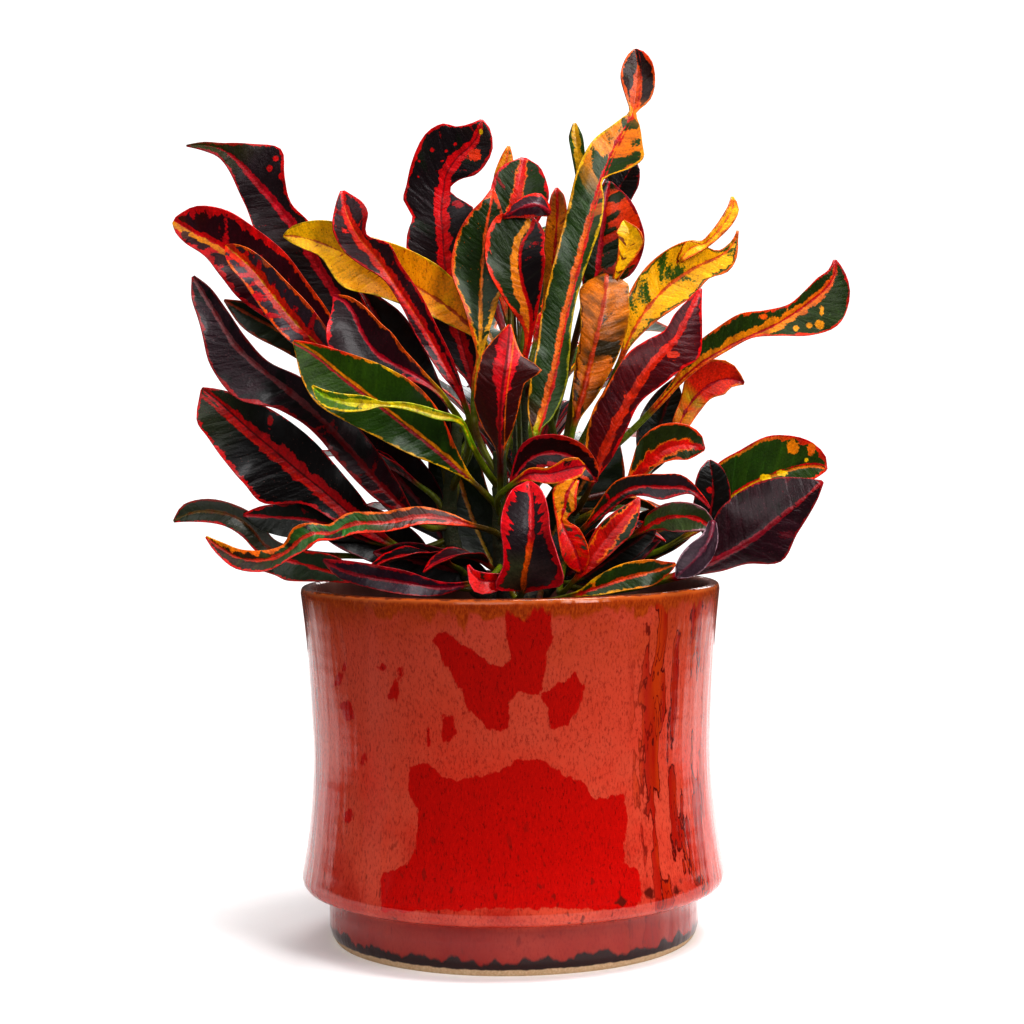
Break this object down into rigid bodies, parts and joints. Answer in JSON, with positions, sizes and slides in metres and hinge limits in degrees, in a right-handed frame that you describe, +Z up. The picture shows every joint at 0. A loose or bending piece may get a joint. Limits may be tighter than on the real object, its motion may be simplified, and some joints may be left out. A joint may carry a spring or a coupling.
{
  "type": "potted croton",
  "caption": "Leafy houseplant with twisted, variegated leaves on two stems, growing in a round glazed ceramic planter filled with potting soil.",
  "frame": {"origin": "centre of the planter's flat base, on the surface it stands on", "axes": "+Z up along the planter's axis, -Y towards the side seen in the picture, +X to its right"},
  "size_m": [0.2405, 0.1917, 0.3154],
  "materials": {
    "planter": "glossy red reactive glaze, bare clay at the foot",
    "potting_soil": "matt, crumbly",
    "front_croton": "leathery, half gloss",
    "rear_croton": "leathery, half gloss"
  },
  "bodies": {
    "root": {"planter": "planter", "potting_soil": "potting_soil", "front_croton": "front_croton", "rear_croton": "rear_croton"}
  },
  "joints": []
}
